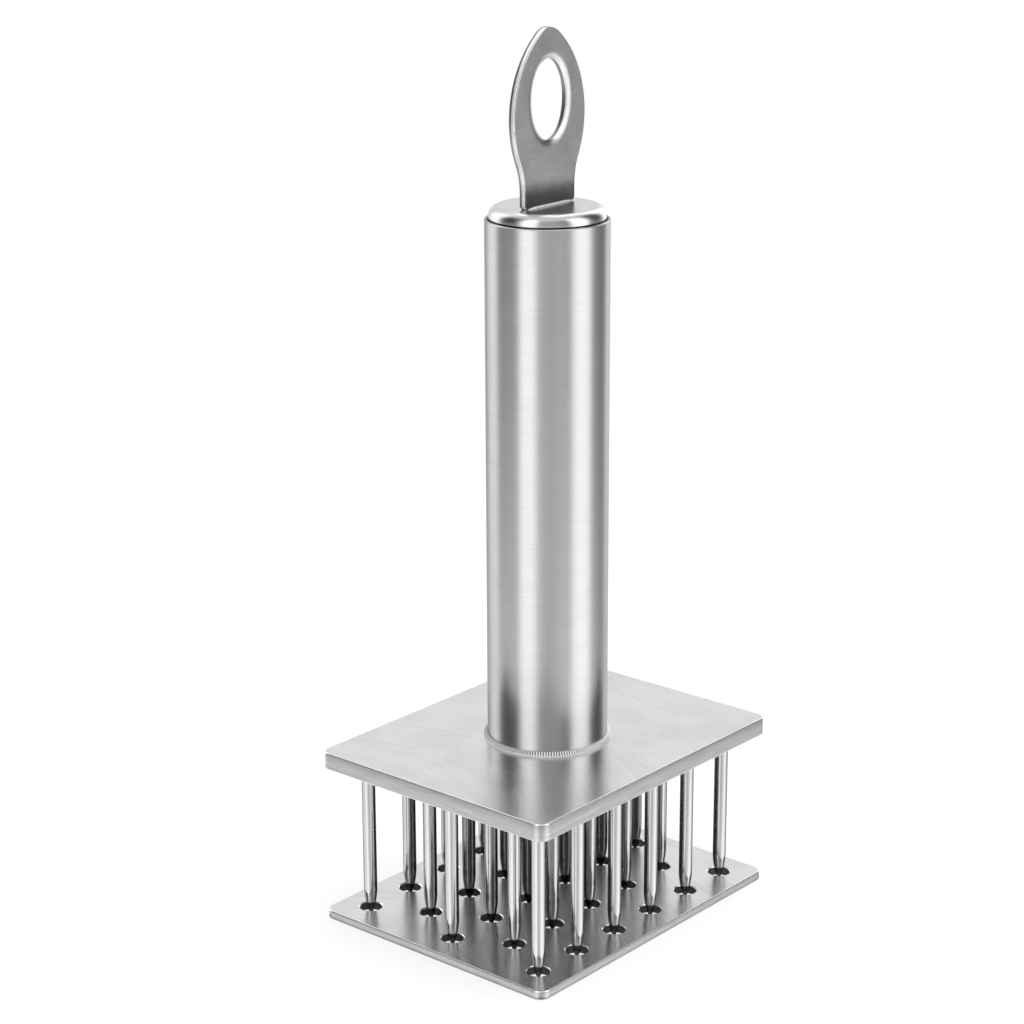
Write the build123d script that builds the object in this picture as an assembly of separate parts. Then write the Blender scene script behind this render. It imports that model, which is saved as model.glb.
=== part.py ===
from build123d import *
import os

# Needle meat tenderizer: a bed of pointed needles under a welded tube handle, and a loose guide
# plate that slides on the needles. Millimetres, +Z up, X along the plates' long side.
# Origin: centre of the guide plate's underside, on the surface that the tool stands on.

# Plates
plate_length = 80.0
plate_width = 63.5
plate_corner_radius = 2.5
needle_plate_thickness = 4.0
guide_plate_thickness = 2.0
plate_edge_round = 0.3

# Needle bed: rows along X, every second row set half a pitch along and with one needle fewer
long_row_needles = 6
long_rows = 3
end_margin = 7.5              # plate end to the centre of the first needle
side_margin = 7.25            # plate side to the centre of the first row
needle_diameter = 3.0
needle_exposed_length = 36.0
needle_point_length = 7.0
needle_tip_flat = 0.3         # diameter of the blunted tip
needle_seat_depth = 2.5
needle_seat_clearance = 0.02
needle_weld_leg = 0.6
guide_clearance = 1.0         # needle to the wall of its guide hole
guide_hole_edge_break = 0.2

# Handle
tube_diameter = 26.7
tube_wall = 0.7
tube_length = 116.5
tube_rim_break = 0.2
tube_foot_bevel = 0.35        # how far the weld bites into the foot of the tube
handle_weld_leg = 0.9
handle_weld_bulge = 0.1

# End cap, pressed from sheet
cap_sheet = 1.2
cap_rise = 2.8                # top of the cap above the tube's rim
cap_skirt_depth = 4.0         # skirt inside the tube, below the rim
cap_seam_width = 0.15         # gap between the tube's rim and the crown of the cap
cap_seam_depth = 1.2
cap_shoulder_radius = 2.2

# Hanging loop, stamped from sheet and stood on edge on the cap
loop_sheet = 1.5
loop_foot_margin = 2.05       # end of the foot to the rim of the cap's flat top
loop_foot_corner = 1.0
loop_neck_height = 3.3        # straight part above the foot
loop_lower_height = 18.7      # foot to the widest level
loop_upper_height = 18.4      # widest level to the tip
loop_swell = 3.35             # each side beyond the foot at the widest level
loop_flare_share = 0.41       # share of the S-curve that is hollow, from the neck upwards
loop_tip_radius = 5.0
loop_front_round = 0.3
loop_back_round = 0.15
loop_weld_leg = 0.6
loop_weld_bulge = 0.07

# Eye of the loop
eye_width = 11.0
eye_height = 17.0
eye_rise = 3.45               # centre above the loop's widest level
eye_roll_width = 1.5          # rolled rim that the punch draws down on the front, from the eye's wall
eye_roll_depth = 0.45

# Places that follow from the sizes
needle_plate_bottom = needle_exposed_length
needle_plate_top = needle_plate_bottom + needle_plate_thickness
tube_rim = needle_plate_top + tube_length
cap_top = tube_rim + cap_rise
cap_skirt_radius = tube_diameter / 2 - tube_wall
cap_crown_radius = cap_skirt_radius - cap_seam_width
loop_foot_half = cap_crown_radius - cap_shoulder_radius - loop_foot_margin
guide_hole_radius = needle_diameter / 2 + guide_clearance


def needle_places():
    """Centres of all needles in plan: the long rows, then the short rows between them."""
    column_pitch = (plate_length - 2 * end_margin) / (long_row_needles - 1)
    row_pitch = (plate_width - 2 * side_margin) / (long_rows - 1)
    long_part = GridLocations(column_pitch, row_pitch, long_row_needles, long_rows)
    short_part = GridLocations(column_pitch, row_pitch, long_row_needles - 1, long_rows - 1)
    return [*long_part, *short_part]


def plate_blank(thickness):
    """Flat plate standing on Z = 0 with round corners and softened edges."""
    blank = extrude(RectangleRounded(plate_length, plate_width, plate_corner_radius), thickness)
    faces = blank.faces().sort_by(Axis.Z)
    rims = faces[0].edges() + faces[-1].edges()
    return fillet(rims, plate_edge_round)


def guide_plate():
    """Loose plate whose holes guide the needles; only the upper edges of the holes are broken."""
    plate = plate_blank(guide_plate_thickness)
    hole = extrude(Circle(guide_hole_radius), guide_plate_thickness)
    plate -= [place * hole for place in needle_places()]
    top = plate.faces().sort_by(Axis.Z)[-1]
    hole_rims = [edge for wire in top.inner_wires() for edge in wire.edges()]
    return chamfer(hole_rims, guide_hole_edge_break)


def needle_plate():
    """Plate that carries the needles in blind seats drilled from below."""
    plate = Pos(Z=needle_plate_bottom) * plate_blank(needle_plate_thickness)
    seat = extrude(Circle(needle_diameter / 2 + needle_seat_clearance), needle_seat_depth)
    seat = Pos(Z=needle_plate_bottom) * seat
    return plate - [place * seat for place in needle_places()]


def needle():
    """Round needle with an ogive point: its curve leaves the shank without a corner."""
    radius = needle_diameter / 2
    end = needle_plate_bottom + needle_seat_depth
    shank = Line((radius, end), (radius, needle_point_length))
    ogive = TangentArc(shank @ 1, (needle_tip_flat / 2, 0), tangent=shank % 1)
    tip = Line(ogive @ 1, (0, 0))
    core = Polyline((0, 0), (0, end), (radius, end))
    half = make_face(Plane.XZ * Curve([shank, ogive, tip, core]))
    return revolve(half, Axis.Z)


def needle_root_welds():
    """One bead round the root of each needle, under the needle plate."""
    radius = needle_diameter / 2
    align = (Align.CENTER, Align.CENTER, Align.MAX)
    bead = Cone(radius, radius + needle_weld_leg, needle_weld_leg, align=align)
    bead -= Cylinder(radius, needle_weld_leg, align=align)
    bead = Pos(Z=needle_plate_bottom) * bead
    return Compound([place * bead for place in needle_places()])


def handle_tube():
    """Round tube on the needle plate: its rim is broken, and its foot is bevelled for the weld."""
    outer = tube_diameter / 2
    inner = outer - tube_wall
    foot = [(inner, 0), (outer - tube_foot_bevel, 0), (outer, handle_weld_leg)]
    outer_rim = [(outer, tube_length - tube_rim_break), (outer - tube_rim_break, tube_length)]
    inner_rim = [(inner + tube_rim_break, tube_length), (inner, tube_length - tube_rim_break)]
    section = make_face(Plane.XZ * Polyline(*foot, *outer_rim, *inner_rim, close=True))
    return Pos(Z=needle_plate_top) * revolve(section, Axis.Z)


def bead_face(toe, crown, bulge):
    """Bulging face of a weld bead, from its toe on the ground up to its crown on the wall."""
    middle = (toe + crown) / 2 + (bulge, bulge)
    return ThreePointArc(toe, middle, crown)


def handle_weld():
    """Bead with a bulging face round the tube's foot; it fills the foot's bevel."""
    crown = Vector(tube_diameter / 2, needle_plate_top + handle_weld_leg)
    root = Vector(tube_diameter / 2 - tube_foot_bevel, needle_plate_top)
    toe = Vector(tube_diameter / 2 + handle_weld_leg, needle_plate_top)
    face = bead_face(toe, crown, handle_weld_bulge)
    section = make_face(Plane.XZ * Curve([Line(root, toe), face, Line(crown, root)]))
    return revolve(section, Axis.Z)


def round_block(radius, bottom, top, shoulder=0.0):
    """Upright round block between two levels, with its top edge rounded if a shoulder is given."""
    block = Pos(Z=bottom) * extrude(Circle(radius), top - bottom)
    if shoulder:
        block = fillet(block.faces().sort_by(Axis.Z)[-1].edges(), shoulder)
    return block


def end_cap():
    """Pressed cup, open side down: its skirt is tight in the bore, its crown leaves a fine seam."""
    skirt_bottom = tube_rim - cap_skirt_depth
    seam_bottom = tube_rim - cap_seam_depth
    skirt = round_block(cap_skirt_radius, skirt_bottom, seam_bottom)
    crown = round_block(cap_crown_radius, skirt_bottom, cap_top, cap_shoulder_radius)
    hollow_radius = cap_skirt_radius - cap_sheet
    hollow_shoulder = cap_shoulder_radius - cap_sheet
    hollow = round_block(hollow_radius, skirt_bottom, cap_top - cap_sheet, hollow_shoulder)
    return crown + skirt - hollow


def loop_outline():
    """Flat outline of the loop, foot on the X axis: S-curves to the widest level, then arcs to the tip."""
    half_width = loop_foot_half + loop_swell
    height = loop_lower_height + loop_upper_height
    # The upper side arc stands upright at the widest level and runs into the tip's arc
    tip_centre = Vector(0, height - loop_tip_radius)
    climb = loop_upper_height - loop_tip_radius
    side_radius = (half_width**2 + climb**2 - loop_tip_radius**2) / (2 * (half_width - loop_tip_radius))
    side_centre = Vector(half_width - side_radius, loop_lower_height)
    tip_start = side_centre + (tip_centre - side_centre).normalized() * side_radius
    # The two arcs of the S-curve meet on the straight line between its ends
    neck_top = Vector(loop_foot_half, loop_neck_height)
    widest = Vector(half_width, loop_lower_height)
    meeting = neck_top + (widest - neck_top) * loop_flare_share

    foot = Line((0, 0), (loop_foot_half, 0))
    neck = Line(foot @ 1, neck_top)
    flare = TangentArc(neck_top, meeting, tangent=neck % 1)
    belly = TangentArc(meeting, widest, tangent=flare % 1)
    side = TangentArc(widest, tip_start, tangent=belly % 1)
    tip = TangentArc(tip_start, (0, height), tangent=side % 1)
    half = Curve([foot, neck, flare, belly, side, tip])
    outline = make_face(half + mirror(half, Plane.YZ))
    foot_corners = outline.vertices().filter_by(lambda corner: abs(corner.X) > loop_foot_half / 2)
    return fillet(foot_corners.group_by(Axis.Y)[0], loop_foot_corner)


def flat_side(blank, side):
    """Front (0) or back (-1) flat face of the loop."""
    return blank.faces().filter_by(Axis.Y).sort_by(Axis.Y)[side]


def eye_rim(face):
    """Edges of the eye on one face of the loop."""
    return face.inner_wires()[0].edges()


def outer_rim(face):
    """Outer edges of one face of the loop, its foot among them."""
    return face.outer_wire().edges()


def eye_punch():
    """Punch for the eye, its axis on Z: straight through the sheet, and flared above the front face."""
    roll_radius = (eye_roll_width**2 + eye_roll_depth**2) / (2 * eye_roll_depth)
    inset = roll_radius - eye_roll_width
    front = loop_sheet / 2
    shank = Pos(Z=front) * extrude(Ellipse(eye_width / 2, eye_height / 2), -2 * loop_sheet)
    neck = Pos(Z=front) * extrude(Ellipse(eye_width / 2 - inset, eye_height / 2 - inset), -2 * roll_radius)
    head = Pos(Z=front) * extrude(Ellipse(eye_width, eye_height), loop_sheet)
    flared = head + neck
    shoulder = flared.faces().filter_by(Axis.Z).sort_by(Axis.Z)[1]
    return fillet(shoulder.inner_wires()[0].edges(), roll_radius) + shank


def hanging_loop():
    """Stamped loop with an oval eye; the front edges are rounder than the back ones."""
    eye_centre = loop_lower_height + eye_rise
    blank = extrude(loop_outline(), loop_sheet / 2, both=True) - Pos(0, eye_centre) * eye_punch()
    blank = Pos(Z=cap_top) * Rot(X=90) * blank
    blank = fillet(outer_rim(flat_side(blank, 0)), loop_front_round)
    blank = fillet(eye_rim(flat_side(blank, -1)), loop_back_round)
    return fillet(outer_rim(flat_side(blank, -1)), loop_back_round)


def loop_weld():
    """The two short beads along the foot of the loop, one on each face."""
    root = Vector(0, 0)
    toe = Vector(loop_weld_leg, 0)
    crown = Vector(0, loop_weld_leg)
    face = bead_face(toe, crown, loop_weld_bulge)
    section = make_face(Curve([Line(root, toe), face, Line(crown, root)]))
    length = 2 * (loop_foot_half - loop_foot_corner)
    bead = Pos(-length / 2, 0, cap_top) * extrude(Plane.YZ * section, length)
    back_bead = Pos(Y=loop_sheet / 2) * bead
    return Compound([back_bead, mirror(back_bead, Plane.XZ)])


def build():
    """Write every piece to its own file."""
    pieces = {
        "guide_plate": guide_plate(),
        "needle_plate": needle_plate(),
        "needle_root_welds": needle_root_welds(),
        "handle_tube": handle_tube(),
        "handle_weld": handle_weld(),
        "end_cap": end_cap(),
        "hanging_loop": hanging_loop(),
        "loop_weld": loop_weld(),
    }
    one_needle = needle()
    for number, place in enumerate(needle_places(), start=1):
        pieces[f"needle_{number:02d}"] = place * one_needle

    os.makedirs("parts", exist_ok=True)
    for name, piece in pieces.items():
        export_step(piece, f"parts/{name}.step")


build()
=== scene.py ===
import math

import bpy
from mathutils import Matrix, Vector


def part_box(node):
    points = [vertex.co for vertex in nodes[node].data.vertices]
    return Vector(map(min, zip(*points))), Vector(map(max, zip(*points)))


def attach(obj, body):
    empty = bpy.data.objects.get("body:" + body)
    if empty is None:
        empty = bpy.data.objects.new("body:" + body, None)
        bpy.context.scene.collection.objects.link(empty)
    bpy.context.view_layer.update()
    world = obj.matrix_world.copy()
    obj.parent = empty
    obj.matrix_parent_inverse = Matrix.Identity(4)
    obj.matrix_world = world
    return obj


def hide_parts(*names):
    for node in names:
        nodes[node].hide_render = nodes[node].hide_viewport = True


# Needle meat tenderizer in stainless steel: the solids come from the frame, in metres, +Z up.
# Here they get their finishes, and the weld beads get their ripples.

MM = 0.001

# Camera, worked out from the straight edges in the photograph. It aims at the centre of the
# needle plate's top, and the offsets move it sideways and upwards without turning it.
CAMERA_AZIMUTH = -49.48
CAMERA_ELEVATION = 17.165
CAMERA_ROLL = -0.24
CAMERA_LENS = 91.63
CAMERA_SENSOR = 36.0
CAMERA_DISTANCE = 582.84 * MM
CAMERA_OFFSET_RIGHT = -7.92 * MM
CAMERA_OFFSET_UP = 49.44 * MM
CAMERA_NEAREST = 10 * MM

# Studio, as the steel sees it: upright light panels round the tool, a ceiling, two panels that hang
# above the tool, behind it and in front, and a pale table that mirrors the upright panels.
# Angles are in degrees, from the camera's own direction and to its right; heights, above the level.
LEFT_PANEL = {"angle": -38, "half_width": 14, "edge": 8, "level": 1.95}
RIGHT_PANEL = {"angle": 66, "half_width": 18, "edge": 9, "level": 1.95}
BACK_WALL = {"angle": 196, "half_width": 59, "edge": 9, "level": 0.84}
BACK_LEFT = {"angle": -124, "half_width": 14, "edge": 10, "level": 0.8}
BACK_RIGHT = {"angle": 146, "half_width": 14, "edge": 10, "level": 0.9}
FRONT_GLOW = {"angle": 5, "half_width": 24, "edge": 14, "level": 0.42}
DIM_LEVEL = 0.05              # of the dark between the upright panels
CEILING = {"angle": 0, "height": 90, "half_width": 38, "edge": 14, "level": 1.0}
CEILING_LEVEL = 0.85          # the upright panels fade into this
HIGH_BACK_PANEL = {"angle": 180, "height": 62, "half_width": 20, "edge": 7, "level": 2.2}
HIGH_FRONT_PANEL = {"angle": 5, "height": 60, "half_width": 22, "edge": 8, "level": 0.75}
HORIZON = (0.02, -0.06)       # rise of a direction at which the table begins to show, and shows alone
TABLE_FAR = 12                # looking down this little, the table is more mirror than paper,
TABLE_STEEP = 25              # and looking down this much, it is more paper than mirror
TABLE_MIRRORS = (0.75, 0.2)   # share of the panels it throws back, far off and steeply
TABLE_HAZE = (0.17, 0.72)     # its own paleness, far off and steeply
POOL_LEFT = {"angle": -62, "half_width": 42, "edge": 28, "level": 0.75}   # pools of light on the table
POOL_RIGHT = {"angle": 64, "half_width": 38, "edge": 22, "level": 0.75}
POOL_DOWN = (18, 24, 32, 45)  # looking down this much, they begin, are full, fade, and end
AMBIENT_LEVEL = 0.75          # even light for matt surfaces

# Lamp over the tool, for its shadow
LAMP_SIZE = 0.9
LAMP_POWER = 8.0
LAMP_PLACE = (0.1, -0.1, 1.1)
LAMP_TILT = (5, 5, 0)

# Floor
FLOOR_HALF = 3.0
FLOOR_DROP = 0.02 * MM
FLOOR_UNDER = (1.0, 1.03)     # steel sees grey paper under the tool, up to this share of its size: painted shade under the tool
FLOOR_WHITE = (250 * MM, 1000 * MM)  # the paper's shadows fade into the white room from here to here,
FLOOR_WHITENESS = (0.7, 1.0)         # and this is the share of plain white at both

# Finishes
NOISE_SPAN = {"From Min": 0.3, "From Max": 0.7}  # nearly all of a noise lies between these
SWEEP_CENTRE = (1.6, 0.3)     # of the hand's arcs on the plates, as shares of a plate's half sizes
SWEEP_SPACING = 0.7 * MM      # real scratches are 0.1 mm apart, drawn coarser
SWEEP_LENGTH = 30 * MM
SIDE_UNSHADED = 0.55             # share of a sheet's thickness up to which its sides stay bright; above it, painted shade darkens them towards the upper edge
SEAM_SHADE = (0.2 * MM, 0.35 * MM)    # above the tube's rim, the painted shade in the seam thins out, and ends
LOOP_PAINTED_REFLECTION = (3 * MM, 7 * MM)       # above its foot, the loop's painted dark reflection of the cap thins out, and ends,
LOOP_RAGGED = 1.5 * MM               # as unevenly as this
LOOP_CUT = (-0.05 * MM, 0.15 * MM)   # across its sheet, the painted highlight on the front half of the cut fades into the rough cut
WELD_TOE = (0.3 * MM, 0.4 * MM)      # above the plate, the tube's weld begins to have painted shade in its valleys
SHADE_REACH = 18 * MM         # a needle's side gets painted shade where the point this far out along its normal lies inside the bed
BED_EDGE = (0.85, 1.1)        # shares of the bed's half size at which it is all inside, and all outside

# Weld beads: a bead's radius and the place of its centre, as shares of its fillet's leg
HANDLE_BEAD = {"radius": 0.7, "inset": 0.85, "rise": 0.3}
LOOP_BEAD = {"radius": 0.6, "inset": 0.8, "rise": 0.14}
ROOT_BEAD = {"radius": 0.85, "outset": 0.1}
BEAD_SIDES = 14
ROOT_BEAD_STEPS = 20
HANDLE_RIPPLES = 150          # real ripples are 0.4 mm apart, drawn coarser
RIPPLE_SHAPE = (1.14, 1.1, 1.04)  # swell of the rings inside a ripple: steep first, then falling off
LOOP_RIPPLE = 0.5 * MM
BEAD_VALLEY = 0.86            # radius between two ripples, as a share of the bead's
BEAD_END = 0.25               # and that of its ends
BEAD_TAPER = 8                # steps over which a bead's end tapers
SMOOTH_ANGLE = 50
RIPPLE_SMOOTH_ANGLE = 80
MERGE_DISTANCE = 0.001 * MM


# --- Small tools -----------------------------------------------------------------------------

def linear(hex_colour):
    """An sRGB hex colour as linear RGBA."""
    levels = [int(hex_colour[i:i + 2], 16) / 255 for i in (1, 3, 5)]
    curve = [v / 12.92 if v <= 0.04045 else ((v + 0.055) / 1.055) ** 2.4 for v in levels]
    return (*curve, 1.0)


def add_node(tree, kind, settings=None, links=None):
    """Add a shader node. Lower-case settings are its own; the others, and all links, are its sockets.
    A link comes from a socket, or from a node's first output."""
    node = tree.nodes.new("ShaderNode" + kind)
    for name, value in (settings or {}).items():
        if isinstance(name, str) and name.islower():
            setattr(node, name, value)
        else:
            node.inputs[name].default_value = value
    for name, source in (links or {}).items():
        output = source.outputs[0] if isinstance(source, bpy.types.Node) else source
        tree.links.new(output, node.inputs[name])
    return node


def new_material(name):
    """Empty node material and its tree."""
    material = bpy.data.materials.new(name)
    material.use_nodes = True
    material.node_tree.nodes.clear()
    return material, material.node_tree


def finish_material(tree, settings, links):
    """Close a material with its one shader."""
    shader = add_node(tree, "BsdfPrincipled", settings, links)
    add_node(tree, "OutputMaterial", links={"Surface": shader})


def streaks(tree, size, seed=0.0):
    """Noise from 0 to 1, mostly near 0.5, drawn out to a size in metres along each axis."""
    place = add_node(tree, "TexCoord").outputs["Object"]
    scale = tuple(1 / length for length in size)
    spread = add_node(tree, "VectorMath", {"operation": "MULTIPLY", 1: scale}, {0: place})
    moved = add_node(tree, "VectorMath", {"operation": "ADD", 1: (seed, seed, seed)}, {0: spread})
    return add_node(tree, "TexNoise", {"Scale": 1.0, "Detail": 3.0}, {"Vector": moved})


def swept_lines(tree, centre, spacing, length):
    """Noise of arcs round a point in plan, as a hand leaves them with an abrasive pad."""
    place = add_node(tree, "TexCoord").outputs["Object"]
    away = add_node(tree, "VectorMath", {"operation": "SUBTRACT", 1: (*centre, 0)}, {0: place})
    parts = add_node(tree, "SeparateXYZ", links={0: away})
    reach = add_node(tree, "VectorMath", {"operation": "LENGTH"}, {0: away}).outputs["Value"]
    across = add_node(tree, "Math", {"operation": "DIVIDE", 1: spacing}, {0: reach})
    links = {0: parts.outputs["Y"], 1: parts.outputs["X"]}
    turn = add_node(tree, "Math", {"operation": "ARCTAN2"}, links)
    arc = add_node(tree, "Math", {"operation": "MULTIPLY"}, {0: turn, 1: reach})
    along = add_node(tree, "Math", {"operation": "DIVIDE", 1: length}, {0: arc})
    vector = add_node(tree, "CombineXYZ", links={"X": across, "Y": along})
    return add_node(tree, "TexNoise", {"Scale": 1.0, "Detail": 2.0}, {"Vector": vector})


def shaded(tree, pattern, first, last, span=NOISE_SPAN):
    """Colour that goes from one hex shade to another as a pattern goes through its span."""
    share = add_node(tree, "MapRange", span, {"Value": pattern})
    settings = {"data_type": "RGBA", 6: linear(first), 7: linear(last)}
    return add_node(tree, "Mix", settings, {0: share}).outputs[2]


def facing(tree, axis):
    """How squarely a surface faces along an axis: 1 on a flat face, 0 on a side."""
    normal = add_node(tree, "TexCoord").outputs["Normal"]
    part = add_node(tree, "SeparateXYZ", links={0: normal}).outputs[axis]
    return add_node(tree, "Math", {"operation": "ABSOLUTE"}, {0: part})


def rubbed_edges_and_highlight(tree, square, start):
    """1 on the rounded edges, which face neither squarely along the axis nor square to it: there they are
    lighter, part rubbed wear and part painted highlight.
    """
    slanted = add_node(tree, "Math", {"operation": "SUBTRACT", 0: 1.0}, {1: square})
    both = add_node(tree, "Math", {"operation": "MULTIPLY"}, {0: slanted, 1: square})
    return add_node(tree, "MapRange", {"From Min": start, "From Max": 0.2}, {"Value": both})


def outward_share(tree, point, half_x, half_y):
    """How far out a point lies in plan: 1 on the sides of a rectangle of those half sizes."""
    away = add_node(tree, "VectorMath", {"operation": "ABSOLUTE"}, {0: point})
    scaled = add_node(tree, "VectorMath", {"operation": "DIVIDE", 1: (half_x, half_y, 1)}, {0: away})
    parts = add_node(tree, "SeparateXYZ", links={0: scaled})
    links = {0: parts.outputs["X"], 1: parts.outputs["Y"]}
    return add_node(tree, "Math", {"operation": "MAXIMUM"}, links)


# --- Finishes --------------------------------------------------------------------------------
# Where a comment gives a real size, the pattern is drawn coarser than that, so that it shows.

def turned_tube():
    """Stainless tube, turned against fine abrasive: lines run round it, so its light bands are soft."""
    material, tree = new_material("stainless tube, turned satin")
    lines = streaks(tree, (9 * MM, 9 * MM, 0.22 * MM))  # real lines are 0.05 mm apart
    colour = shaded(tree, lines, "#C2C2C2", "#CACACA")
    cloud = streaks(tree, (14 * MM, 14 * MM, 5 * MM), seed=4.0)
    roughness = add_node(tree, "MapRange", {**NOISE_SPAN, "To Min": 0.28, "To Max": 0.32}, {"Value": cloud})
    normal = add_node(tree, "Bump", {"Distance": 0.005 * MM}, {"Height": lines})
    settings = {
        "Metallic": 1.0,
        "Specular Tint": linear("#C8C8C8"),
        "Anisotropic": 0.6,
        "Anisotropic Rotation": 0.25,
    }
    finish_material(tree, settings, {"Base Color": colour, "Roughness": roughness, "Normal": normal})
    return material


def ground_sheet(name, seed, sweep_centre, low, high):
    """Stainless sheet between two levels, ground satin by hand: swept scratches on its faces, and long
    grain on its sawn sides, with painted shade darkening them just below the upper edge."""
    material, tree = new_material(name)
    square = facing(tree, "Z")
    on_face = add_node(tree, "MapRange", {"From Min": 0.6, "From Max": 0.9}, {"Value": square})
    worn_and_highlit = rubbed_edges_and_highlight(tree, square, start=0.09)

    sweep = swept_lines(tree, sweep_centre, SWEEP_SPACING, SWEEP_LENGTH)
    grain = streaks(tree, (7 * MM, 7 * MM, 0.3 * MM), seed=seed + 7)  # real grain is 0.1 mm wide
    patches = streaks(tree, (9 * MM, 9 * MM, 9 * MM), seed=seed)
    settings = {"From Min": 0.42, "From Max": 0.62, "To Min": 0.5}
    pressure = add_node(tree, "MapRange", settings, {"Value": patches})
    scratches = add_node(tree, "Math", {"operation": "MULTIPLY"}, {0: sweep, 1: pressure})
    face_colour = shaded(tree, scratches, "#E6E6E6", "#DADADA", {"From Min": 0.1, "From Max": 0.5})

    # Painted shade: the sides grow darker towards their upper edge.
    place = add_node(tree, "TexCoord").outputs["Object"]
    height = add_node(tree, "SeparateXYZ", links={0: place}).outputs["Z"]
    settings = {"From Min": low + SIDE_UNSHADED * (high - low), "From Max": high}
    shade_under_edge = add_node(tree, "MapRange", settings, {"Value": height})
    settings = {"data_type": "RGBA", 7: linear("#9C9C9C")}
    links = {0: shade_under_edge, 6: shaded(tree, grain, "#B4B4B4", "#CCCCCC")}
    side_colour = add_node(tree, "Mix", settings, links).outputs[2]

    links = {0: on_face, 6: side_colour, 7: face_colour}
    colour = add_node(tree, "Mix", {"data_type": "RGBA"}, links).outputs[2]
    # Rounded edges painted white: part rubbed wear, part painted highlight.
    settings = {"data_type": "RGBA", 7: linear("#FFFFFF")}
    colour = add_node(tree, "Mix", settings, {0: worn_and_highlit, 6: colour}).outputs[2]
    cloud = streaks(tree, (25 * MM, 20 * MM, 20 * MM), seed=seed + 3)
    roughness = add_node(tree, "MapRange", {**NOISE_SPAN, "To Min": 0.24, "To Max": 0.28}, {"Value": cloud})
    roughness = add_node(tree, "Mix", {2: 0.36}, {0: on_face, 3: roughness})
    roughness = add_node(tree, "Mix", {3: 0.3}, {0: worn_and_highlit, 2: roughness})
    texture = add_node(tree, "Mix", links={0: on_face, 2: grain, 3: sweep})
    depth = add_node(tree, "Mix", {2: 0.02 * MM, 3: 0.009 * MM}, {0: on_face})
    normal = add_node(tree, "Bump", links={"Height": texture, "Distance": depth})
    links = {"Base Color": colour, "Roughness": roughness, "Normal": normal}
    finish_material(tree, {"Metallic": 1.0}, links)
    return material


def pressed_cap(rim):
    """Stainless cap, pressed and buffed: soft reflections, and a line of painted shade in the seam."""
    material, tree = new_material("stainless cap, pressed and buffed")
    place = add_node(tree, "TexCoord").outputs["Object"]
    height = add_node(tree, "SeparateXYZ", links={0: place}).outputs["Z"]
    settings = {"From Min": rim + SEAM_SHADE[0], "From Max": rim + SEAM_SHADE[1]}
    unshaded = add_node(tree, "MapRange", settings, {"Value": height})
    lines = streaks(tree, (4 * MM, 4 * MM, 0.3 * MM), seed=2.0)  # real lines are 0.05 mm apart
    # Painted shade: dark just above the tube's rim, in the seam.
    settings = {"data_type": "RGBA", 6: linear("#303030")}
    links = {0: unshaded, 7: shaded(tree, lines, "#D0D0D0", "#D8D8D8")}
    colour = add_node(tree, "Mix", settings, links).outputs[2]
    cloud = streaks(tree, (6 * MM, 6 * MM, 6 * MM), seed=9.0)
    roughness = add_node(tree, "MapRange", {**NOISE_SPAN, "To Min": 0.22, "To Max": 0.27}, {"Value": cloud})
    normal = add_node(tree, "Bump", {"Distance": 0.003 * MM}, {"Height": lines})
    links = {"Base Color": colour, "Roughness": roughness, "Normal": normal}
    finish_material(tree, {"Metallic": 1.0}, links)
    return material


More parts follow.
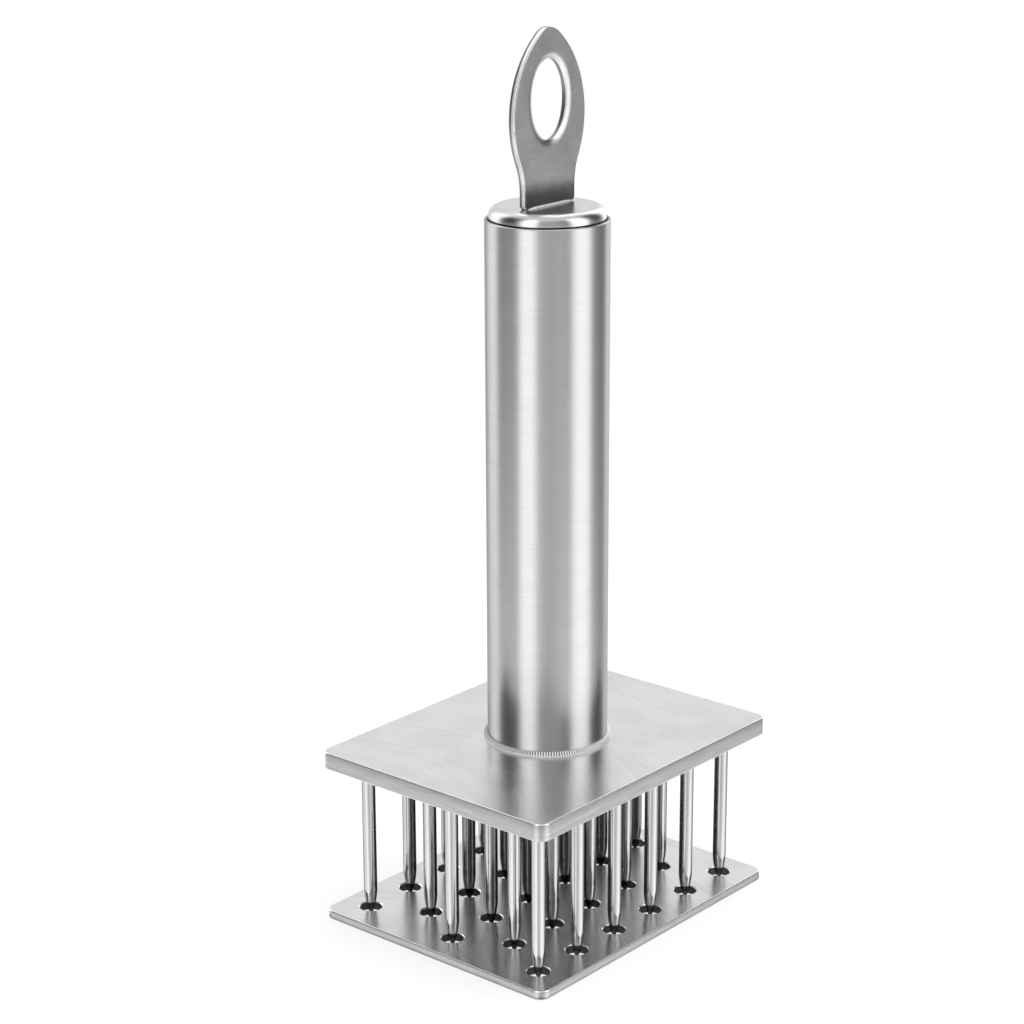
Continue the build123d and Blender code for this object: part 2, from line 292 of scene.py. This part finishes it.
def stamped_loop(foot):
    """Stainless sheet, stamped and brushed across: level lines, painted dark reflection above its weld. The
    front half of the outline's cut has a painted highlight, pale and less metallic; the rest of it is rough."""
    material, tree = new_material("stainless loop, stamped and brushed")
    coordinates = add_node(tree, "TexCoord")
    place = add_node(tree, "SeparateXYZ", links={0: coordinates.outputs["Object"]})
    normal = add_node(tree, "SeparateXYZ", links={0: coordinates.outputs["Normal"]})
    square = facing(tree, "Y")
    worn_and_highlit = rubbed_edges_and_highlight(tree, square, start=0.06)
    settings = {"From Min": 0.1, "From Max": 0.3, "To Min": 1.0, "To Max": 0.0}
    sheared = add_node(tree, "MapRange", settings, {"Value": square})

    # Painted dark reflection of the cap's top, on a ragged band above the foot.
    links = {0: streaks(tree, (2 * MM, 2 * MM, 2 * MM), seed=3.0), 2: place.outputs["Z"]}
    ragged = add_node(tree, "Math", {"operation": "MULTIPLY_ADD", 1: LOOP_RAGGED}, links)
    settings = {"From Min": foot + LOOP_PAINTED_REFLECTION[0], "From Max": foot + LOOP_PAINTED_REFLECTION[1]}
    settings = {**settings, "To Min": 1.0, "To Max": 0.0, "interpolation_type": "SMOOTHSTEP"}
    painted_foot_reflection = add_node(tree, "MapRange", settings, {"Value": ragged})

    # Painted highlight: the front half of the outline's cut, made white and less metallic.
    settings = {"From Min": LOOP_CUT[0], "From Max": LOOP_CUT[1], "To Min": 1.0, "To Max": 0.0}
    front = add_node(tree, "MapRange", settings, {"Value": place.outputs["Y"]})
    links = {0: place.outputs["X"], 1: normal.outputs["X"]}
    outward = add_node(tree, "Math", {"operation": "MULTIPLY"}, links)
    outline = add_node(tree, "MapRange", {"From Max": 0.5 * MM}, {"Value": outward})
    front_outline = add_node(tree, "Math", {"operation": "MULTIPLY"}, {0: front, 1: outline})
    painted_highlight = add_node(tree, "Math", {"operation": "MULTIPLY"}, {0: sheared, 1: front_outline})

    lines = streaks(tree, (4 * MM, 4 * MM, 0.25 * MM), seed=5.0)  # real lines are 0.1 mm apart
    colour = shaded(tree, lines, "#C6C6C6", "#D6D6D6")
    # Painted dark reflection, the cut's own grey, rubbed wear with painted highlight, and painted highlight
    # on the cut.
    tints = ((painted_foot_reflection, "#787878"), (sheared, "#909090"), (worn_and_highlit, "#D8D8D8"), (painted_highlight, "#FFFFFF"))
    for share, tint in tints:
        settings = {"data_type": "RGBA", 7: linear(tint)}
        colour = add_node(tree, "Mix", settings, {0: share, 6: colour}).outputs[2]
    cloud = streaks(tree, (5 * MM, 5 * MM, 8 * MM), seed=1.0)
    roughness = add_node(tree, "MapRange", {**NOISE_SPAN, "To Min": 0.3, "To Max": 0.36}, {"Value": cloud})
    for share, level in ((sheared, 0.4), (worn_and_highlit, 0.16)):
        roughness = add_node(tree, "Mix", {3: level}, {0: share, 2: roughness})
    # the painted highlight is made less metallic, so that it shows pale
    metallic = add_node(tree, "Mix", {2: 1.0, 3: 0.4}, {0: painted_highlight})
    depth = add_node(tree, "Mix", {2: 0.01 * MM, 3: 0.0}, {0: sheared})
    relief = add_node(tree, "Bump", links={"Height": lines, "Distance": depth})
    links = {"Base Color": colour, "Metallic": metallic, "Roughness": roughness, "Normal": relief}
    finish_material(tree, {}, links)
    return material


def polished_needle(half_x, half_y):
    """Stainless wire, ground to a point and buffed: sharp upright reflections, and painted shade on sides
    facing into the bed.
    """
    material, tree = new_material("stainless needle, buffed bright")
    lines = streaks(tree, (0.4 * MM, 0.4 * MM, 9 * MM), seed=6.0)  # real lines are 0.05 mm apart
    # Painted shade on the needle sides that face other needles.
    settings = {"data_type": "RGBA", 7: linear("#686868")}
    links = {0: shaded_inside_bed(tree, half_x, half_y), 6: shaded(tree, lines, "#B8B8B8", "#C0C0C0")}
    colour = add_node(tree, "Mix", settings, links).outputs[2]
    cloud = streaks(tree, (2 * MM, 2 * MM, 6 * MM), seed=8.0)
    roughness = add_node(tree, "MapRange", {**NOISE_SPAN, "To Min": 0.12, "To Max": 0.17}, {"Value": cloud})
    normal = add_node(tree, "Bump", {"Distance": 0.0005 * MM}, {"Height": lines})
    settings = {"Metallic": 1.0, "Specular Tint": linear("#808080")}
    finish_material(tree, settings, {"Base Color": colour, "Roughness": roughness, "Normal": normal})
    return material


def shaded_inside_bed(tree, half_x, half_y):
    """1 on needle sides that face other needles, where the shade is painted."""
    coordinates = add_node(tree, "TexCoord")
    settings = {"operation": "MULTIPLY", 1: (SHADE_REACH, SHADE_REACH, 0)}
    step = add_node(tree, "VectorMath", settings, {0: coordinates.outputs["Normal"]})
    ahead = add_node(tree, "VectorMath", {"operation": "ADD"}, {0: coordinates.outputs["Object"], 1: step})
    settings = {"From Min": BED_EDGE[0], "From Max": BED_EDGE[1], "To Min": 1.0, "To Max": 0.0}
    return add_node(tree, "MapRange", settings, {"Value": outward_share(tree, ahead, half_x, half_y)})


def weld_metal():
    """Stainless weld, washed and brushed after welding: its fine scale scatters light, so it is pale."""
    material, tree = new_material("stainless weld, washed")
    speckle = streaks(tree, (0.5 * MM, 0.5 * MM, 0.5 * MM), seed=11.0)
    colour = shaded(tree, speckle, "#DCDCDC", "#F4F4F4")
    roughness = add_node(tree, "MapRange", {**NOISE_SPAN, "To Min": 0.28, "To Max": 0.36}, {"Value": speckle})
    normal = add_node(tree, "Bump", {"Distance": 0.002 * MM}, {"Height": speckle})
    links = {"Base Color": colour, "Roughness": roughness, "Normal": normal}
    finish_material(tree, {"Metallic": 0.4}, links)
    return material


def rippled_weld(foot):
    """The same weld round the tube: bright crests, and painted shade in the valleys between ripples."""
    material, tree = new_material("stainless weld, rippled and washed")
    place = add_node(tree, "TexCoord").outputs["Object"]
    parts = add_node(tree, "SeparateXYZ", links={0: place})
    links = {0: parts.outputs["Y"], 1: parts.outputs["X"]}
    turn = add_node(tree, "Math", {"operation": "ARCTAN2"}, links)
    phase = add_node(tree, "Math", {"operation": "MULTIPLY", 1: HANDLE_RIPPLES}, {0: turn})
    wave = add_node(tree, "Math", {"operation": "COSINE"}, {0: phase})
    valley = add_node(tree, "MapRange", {"From Max": 0.3}, {"Value": wave})
    settings = {"From Min": foot + WELD_TOE[0], "From Max": foot + WELD_TOE[1]}
    above_toe = add_node(tree, "MapRange", settings, {"Value": parts.outputs["Z"]})
    # Painted shade in the ripples' valleys, above the weld's toe.
    dark = add_node(tree, "Math", {"operation": "MULTIPLY"}, {0: valley, 1: above_toe})
    speckle = streaks(tree, (0.5 * MM, 0.5 * MM, 0.5 * MM), seed=11.0)
    settings = {"data_type": "RGBA", 7: linear("#080808")}
    links = {0: dark, 6: shaded(tree, speckle, "#F4F4F4", "#FFFFFF")}
    colour = add_node(tree, "Mix", settings, links).outputs[2]
    roughness = add_node(tree, "MapRange", {**NOISE_SPAN, "To Min": 0.3, "To Max": 0.38}, {"Value": speckle})
    finish_material(tree, {"Metallic": 0.25}, {"Base Color": colour, "Roughness": roughness})
    return material


def give(piece, material):
    """Put one finish on a piece."""
    piece.data.materials.clear()
    piece.data.materials.append(material)


# --- Pieces ----------------------------------------------------------------------------------

def deselect():
    """Leave nothing selected, so that the next operator acts on its own piece alone."""
    bpy.ops.object.select_all(action="DESELECT")


def smooth(piece, angle):
    """Smooth shading up to an angle, with faces outwards."""
    deselect()
    piece.select_set(True)
    bpy.context.view_layer.objects.active = piece
    bpy.ops.object.mode_set(mode="EDIT")
    bpy.ops.mesh.select_all(action="SELECT")
    bpy.ops.mesh.remove_doubles(threshold=MERGE_DISTANCE)
    bpy.ops.mesh.normals_make_consistent(inside=False)
    bpy.ops.object.mode_set(mode="OBJECT")
    bpy.ops.object.shade_smooth_by_angle(angle=math.radians(angle))


def copy_of(pattern, place):
    """Copy of a piece, with its own mesh, set at a place."""
    copy = pattern.copy()
    copy.data = pattern.data.copy()
    bpy.context.collection.objects.link(copy)
    copy.location = place
    return copy


def joined(name, pieces):
    """Make several pieces one, with its object at the origin."""
    deselect()
    for piece in pieces:
        piece.select_set(True)
    bpy.context.view_layer.objects.active = pieces[0]
    bpy.ops.object.join()
    whole = bpy.context.active_object
    whole.name = name
    bpy.ops.object.transform_apply(location=True, rotation=True, scale=True)
    return whole


def bead_section(name, centre, radius, turned, fill="NOTHING"):
    """Round section of a bead, turned to face along it, in edit mode with all of it selected."""
    deselect()
    bpy.ops.mesh.primitive_circle_add(
        vertices=BEAD_SIDES, radius=radius, fill_type=fill, location=centre, rotation=turned)
    piece = bpy.context.active_object
    piece.name = name
    bpy.ops.object.transform_apply(location=True, rotation=True, scale=True)
    bpy.ops.object.mode_set(mode="EDIT")
    bpy.ops.mesh.select_all(action="SELECT")
    return piece


def handle_weld_bead():
    """Weld round the foot of the tube. One ripple is made and then repeated right round."""
    low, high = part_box("handle_weld")
    leg = high.z - low.z
    centre = (high.x - HANDLE_BEAD["inset"] * leg, 0, low.z + HANDLE_BEAD["rise"] * leg)
    turn = 2 * math.pi / HANDLE_RIPPLES
    steps = len(RIPPLE_SHAPE) + 1
    piece = bead_section("handle_weld_bead", centre, HANDLE_BEAD["radius"] * leg, (math.pi / 2, 0, 0))
    bpy.ops.mesh.spin(steps=steps, angle=turn, center=(0, 0, 0), axis=(0, 0, 1))
    for number, swell in enumerate(RIPPLE_SHAPE, start=1):
        swell_ring(piece, number * turn / steps, turn / steps, centre, swell)
    bpy.ops.mesh.select_all(action="SELECT")
    bpy.ops.mesh.spin(
        steps=HANDLE_RIPPLES, angle=2 * math.pi, center=(0, 0, 0), axis=(0, 0, 1), dupli=True)
    bpy.ops.object.mode_set(mode="OBJECT")
    smooth(piece, RIPPLE_SMOOTH_ANGLE)
    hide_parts("handle_weld")
    return piece


def swell_ring(piece, angle, spacing, first_centre, swell):
    """Widen the one ring of vertices that stands at an angle round the Z axis."""
    bpy.ops.mesh.select_all(action="DESELECT")
    bpy.ops.object.mode_set(mode="OBJECT")
    for vertex in piece.data.vertices:
        own_angle = abs(math.atan2(vertex.co.y, vertex.co.x))
        vertex.select = abs(own_angle - angle) < spacing / 2
    centre = Matrix.Rotation(angle, 4, "Z") @ Vector(first_centre)
    bpy.ops.object.mode_set(mode="EDIT")
    bpy.ops.transform.resize(value=(swell,) * 3, center_override=centre)


def needle_root_beads(needles):
    """Small bead round the root of each needle: one is spun, then copied to every needle."""
    low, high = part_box("needle_root_welds")
    leg = high.z - low.z
    first_low, first_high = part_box(needles[0])
    reach = (first_high.x - first_low.x) / 2 + ROOT_BEAD["outset"] * leg
    radius = ROOT_BEAD["radius"] * leg
    pattern = bead_section("needle_root_beads", (reach, 0, high.z), radius, (math.pi / 2, 0, 0))
    bpy.ops.mesh.spin(steps=ROOT_BEAD_STEPS, angle=2 * math.pi, center=(0, 0, 0), axis=(0, 0, 1))
    bpy.ops.object.mode_set(mode="OBJECT")
    smooth(pattern, SMOOTH_ANGLE)
    beads = []
    for name in needles:
        low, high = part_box(name)
        beads.append(copy_of(pattern, ((low.x + high.x) / 2, (low.y + high.y) / 2, 0)))
    bpy.data.objects.remove(pattern)
    piece = joined("needle_root_beads", beads)
    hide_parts("needle_root_welds")
    return piece


def straight_bead(name, start, end, radius):
    """Weld bead along the X axis: rings that swell and shrink with each ripple, and round ends."""
    count = round((end.x - start.x) / LOOP_RIPPLE)
    step = (end.x - start.x) / (2 * count)
    piece = bead_section(name, start, radius, (0, math.pi / 2, 0), fill="NGON")
    size = BEAD_END
    bpy.ops.transform.resize(value=(size,) * 3, center_override=start)
    for number in range(1, 2 * count + 1):
        from_end = min(number, 2 * count - number) / BEAD_TAPER
        ripple = 1.0 if number % 2 else BEAD_VALLEY
        wanted = ripple * min(1.0, BEAD_END + (1 - BEAD_END) * from_end)
        bpy.ops.mesh.extrude_region_move(TRANSFORM_OT_translate={"value": (step, 0, 0)})
        centre = start + Vector((number * step, 0, 0))
        bpy.ops.transform.resize(value=(wanted / size,) * 3, center_override=centre)
        size = wanted
    bpy.ops.object.mode_set(mode="OBJECT")
    smooth(piece, RIPPLE_SMOOTH_ANGLE)
    return piece


def loop_weld_beads():
    """Beads along both faces of the loop's foot."""
    low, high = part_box("loop_weld")
    leg = high.z - low.z
    level = low.z + LOOP_BEAD["rise"] * leg
    beads = []
    for side in (-1, 1):
        across = side * ((high.y - low.y) / 2 - LOOP_BEAD["inset"] * leg)
        start = Vector((low.x, across, level))
        end = Vector((high.x, across, level))
        beads.append(straight_bead("loop_weld_beads", start, end, LOOP_BEAD["radius"] * leg))
    piece = joined("loop_weld_beads", beads)
    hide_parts("loop_weld")
    return piece


# --- Studio ----------------------------------------------------------------------------------

def level_direction(angle):
    """Level direction at an angle from the camera's own, to its right."""
    azimuth = math.radians(CAMERA_AZIMUTH)
    to_camera = Vector((math.sin(azimuth), -math.cos(azimuth), 0))
    right = Vector((math.cos(azimuth), math.sin(azimuth), 0))
    return to_camera * math.cos(math.radians(angle)) + right * math.sin(math.radians(angle))


def add_camera():
    """Camera at the photograph's viewpoint."""
    elevation = math.radians(CAMERA_ELEVATION)
    forward = level_direction(180) * math.cos(elevation) - Vector((0, 0, math.sin(elevation)))
    right = Matrix.Rotation(math.radians(-CAMERA_ROLL), 3, forward) @ level_direction(90)
    up = right.cross(forward)
    data = bpy.data.cameras.new("camera")
    data.sensor_width = CAMERA_SENSOR
    data.lens = CAMERA_LENS
    data.clip_start = CAMERA_NEAREST
    camera = bpy.data.objects.new("camera", data)
    bpy.context.collection.objects.link(camera)
    camera.matrix_world = Matrix((right, up, -forward)).transposed().to_4x4()
    plate_top = Vector((0, 0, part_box("needle_plate")[1].z))
    offset = right * CAMERA_OFFSET_RIGHT + up * CAMERA_OFFSET_UP
    camera.location = plate_top - forward * CAMERA_DISTANCE + offset
    bpy.context.scene.camera = camera


def panel_glow(tree, direction, angle, half_width, edge, level, height=0):
    """Glow of one soft-edged light panel, seen along a direction."""
    rise = math.radians(height)
    axis = level_direction(angle) * math.cos(rise) + Vector((0, 0, math.sin(rise)))
    along = add_node(tree, "VectorMath", {"operation": "DOT_PRODUCT", 1: tuple(axis)}, {0: direction})
    settings = {
        "interpolation_type": "SMOOTHSTEP",
        "From Min": math.cos(math.radians(half_width + edge)),
        "From Max": math.cos(math.radians(half_width - edge)),
        "To Max": level,
    }
    return add_node(tree, "MapRange", settings, {"Value": along.outputs["Value"]})


def table_glow(tree, above, bearing, rise):
    """What the table shows of the upright panels, seen along a falling direction."""
    ramp = {
        "interpolation_type": "SMOOTHSTEP",
        "From Min": -math.sin(math.radians(TABLE_FAR)),
        "From Max": -math.sin(math.radians(TABLE_STEEP)),
    }
    settings = {**ramp, "To Min": TABLE_MIRRORS[0], "To Max": TABLE_MIRRORS[1]}
    mirrored = add_node(tree, "MapRange", settings, {"Value": rise})
    settings = {**ramp, "To Min": TABLE_HAZE[0], "To Max": TABLE_HAZE[1]}
    pale = add_node(tree, "MapRange", settings, {"Value": rise})
    begin, full, fade, end = [-math.sin(math.radians(down)) for down in POOL_DOWN]
    begun = add_node(tree, "MapRange", {"From Min": begin, "From Max": full}, {"Value": rise})
    ended = add_node(tree, "MapRange", {"From Min": end, "From Max": fade}, {"Value": rise})
    lit = add_node(tree, "Math", {"operation": "MULTIPLY"}, {0: begun, 1: ended})
    for pool in (POOL_LEFT, POOL_RIGHT):
        links = {0: panel_glow(tree, bearing, **pool), 1: lit, 2: pale}
        pale = add_node(tree, "Math", {"operation": "MULTIPLY_ADD"}, links)
    return add_node(tree, "Math", {"operation": "MULTIPLY_ADD"}, {0: above, 1: mirrored, 2: pale})


def add_world():
    """Room: white to the eye, even light for matt surfaces, and light panels for steel."""
    world = bpy.data.worlds.new("studio")
    bpy.context.scene.world = world
    world.use_nodes = True
    tree = world.node_tree
    tree.nodes.clear()
    direction = add_node(tree, "TexCoord").outputs["Generated"]
    rise = add_node(tree, "SeparateXYZ", links={0: direction}).outputs["Z"]
    level = add_node(tree, "VectorMath", {"operation": "MULTIPLY", 1: (1, 1, 0)}, {0: direction})
    bearing = add_node(tree, "VectorMath", {"operation": "NORMALIZE"}, {0: level})

    left = panel_glow(tree, bearing, **LEFT_PANEL)
    upright = add_node(tree, "Math", {"operation": "ADD", 1: DIM_LEVEL}, {0: left})
    for panel in (RIGHT_PANEL, BACK_WALL, BACK_LEFT, BACK_RIGHT, FRONT_GLOW):
        links = {0: upright, 1: panel_glow(tree, bearing, **panel)}
        upright = add_node(tree, "Math", {"operation": "ADD"}, links)
    ceiling = panel_glow(tree, direction, **CEILING)
    above = add_node(tree, "Mix", {3: CEILING_LEVEL}, {0: ceiling, 2: upright})
    for panel in (HIGH_BACK_PANEL, HIGH_FRONT_PANEL):
        links = {0: above, 1: panel_glow(tree, direction, **panel)}
        above = add_node(tree, "Math", {"operation": "MAXIMUM"}, links)
    below = table_glow(tree, upright, bearing, rise)
    settings = {"From Min": HORIZON[0], "From Max": HORIZON[1]}
    downward = add_node(tree, "MapRange", settings, {"Value": rise})
    steel_sees = add_node(tree, "Mix", links={0: downward, 2: above, 3: below})

    path = add_node(tree, "LightPath")
    links = {0: path.outputs["Is Glossy Ray"], 3: steel_sees}
    lit = add_node(tree, "Mix", {2: AMBIENT_LEVEL}, links)
    seen = add_node(tree, "Mix", {3: 1.0}, {0: path.outputs["Is Camera Ray"], 2: lit})
    background = add_node(tree, "Background", links={"Color": seen})
    add_node(tree, "OutputWorld", links={"Surface": background})


def floor_paper(half_x, half_y):
    """Matt white paper. Steel sees it only under the tool, as grey (painted shade), and the room's table
    beyond that.
    """
    material, tree = new_material("paper, matt white")
    path = add_node(tree, "LightPath")
    # Grey to all but the camera: painted shade under the tool.
    settings = {"data_type": "RGBA", 6: linear("#808080"), 7: linear("#FFFFFF")}
    colour = add_node(tree, "Mix", settings, {0: path.outputs["Is Camera Ray"]}).outputs[2]
    paper = add_node(tree, "BsdfDiffuse", links={"Color": colour})
    white = add_node(tree, "Emission", {"Color": (1, 1, 1, 1), "Strength": 1.0})

    place = add_node(tree, "TexCoord").outputs["Object"]
    reach = add_node(tree, "VectorMath", {"operation": "LENGTH"}, {0: place}).outputs["Value"]
    settings = {"From Min": FLOOR_WHITE[0], "From Max": FLOOR_WHITE[1]}
    settings = {**settings, "To Min": FLOOR_WHITENESS[0], "To Max": FLOOR_WHITENESS[1]}
    even = add_node(tree, "MapRange", settings, {"Value": reach})
    links = {0: even, 1: path.outputs["Is Camera Ray"]}
    whitened = add_node(tree, "Math", {"operation": "MULTIPLY"}, links)
    shown = add_node(tree, "MixShader", links={0: whitened, 1: paper, 2: white})

    settings = {"From Min": FLOOR_UNDER[0], "From Max": FLOOR_UNDER[1]}
    beyond = add_node(tree, "MapRange", settings, {"Value": outward_share(tree, place, half_x, half_y)})
    links = {0: beyond, 1: path.outputs["Is Glossy Ray"]}
    unseen = add_node(tree, "Math", {"operation": "MULTIPLY"}, links)
    clear = add_node(tree, "BsdfTransparent")
    surface = add_node(tree, "MixShader", links={0: unseen, 1: shown, 2: clear})
    add_node(tree, "OutputMaterial", links={"Surface": surface})
    return material


def add_floor():
    """Plain floor under the tool."""
    deselect()
    bpy.ops.mesh.primitive_plane_add(size=2 * FLOOR_HALF, location=(0, 0, -FLOOR_DROP))
    floor = bpy.context.active_object
    floor.name = "floor"
    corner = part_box("guide_plate")[1]
    give(floor, floor_paper(corner.x, corner.y))


def add_lamp():
    """One broad soft lamp overhead, for the shadow on the floor."""
    data = bpy.data.lights.new("overhead_softbox", "AREA")
    data.shape = "DISK"
    data.size = LAMP_SIZE
    data.energy = LAMP_POWER
    lamp = bpy.data.objects.new("overhead_softbox", data)
    bpy.context.collection.objects.link(lamp)
    lamp.location = LAMP_PLACE
    lamp.rotation_euler = [math.radians(angle) for angle in LAMP_TILT]
    lamp.visible_glossy = False


# --- The whole scene -------------------------------------------------------------------------

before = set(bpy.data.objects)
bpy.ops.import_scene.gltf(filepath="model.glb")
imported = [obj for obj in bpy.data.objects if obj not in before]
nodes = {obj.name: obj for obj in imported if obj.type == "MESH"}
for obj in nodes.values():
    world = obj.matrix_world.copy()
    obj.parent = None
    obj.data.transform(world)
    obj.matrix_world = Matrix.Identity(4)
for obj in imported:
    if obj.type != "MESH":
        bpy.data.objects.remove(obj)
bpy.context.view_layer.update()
needles = sorted(name for name in nodes if name.startswith("needle_") and name[-1].isdigit())

plate_low, plate_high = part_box("needle_plate")
sweep_centre = (plate_low.x * SWEEP_CENTRE[0], plate_high.y * SWEEP_CENTRE[1])
give(
    nodes["needle_plate"],
    ground_sheet("stainless plate, ground satin", 0.0, sweep_centre, plate_low.z, plate_high.z))
guide_low, guide_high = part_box("guide_plate")
give(
    nodes["guide_plate"],
    ground_sheet("stainless guide sheet, ground satin", 20.0, sweep_centre, guide_low.z, guide_high.z))
give(nodes["handle_tube"], turned_tube())
give(nodes["end_cap"], pressed_cap(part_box("handle_tube")[1].z))
give(nodes["hanging_loop"], stamped_loop(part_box("hanging_loop")[0].z))
corners = [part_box(name)[1] for name in needles]
bright = polished_needle(max(corner.x for corner in corners), max(corner.y for corner in corners))
for name in needles:
    give(nodes[name], bright)

plain_weld = weld_metal()
welds = {
    handle_weld_bead(): rippled_weld(plate_high.z),
    loop_weld_beads(): plain_weld,
    needle_root_beads(needles): plain_weld,
}
for piece, finish in welds.items():
    give(piece, finish)
    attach(piece, "tool")

add_camera()
add_world()
add_floor()
add_lamp()
bpy.context.scene.view_settings.view_transform = "Standard"
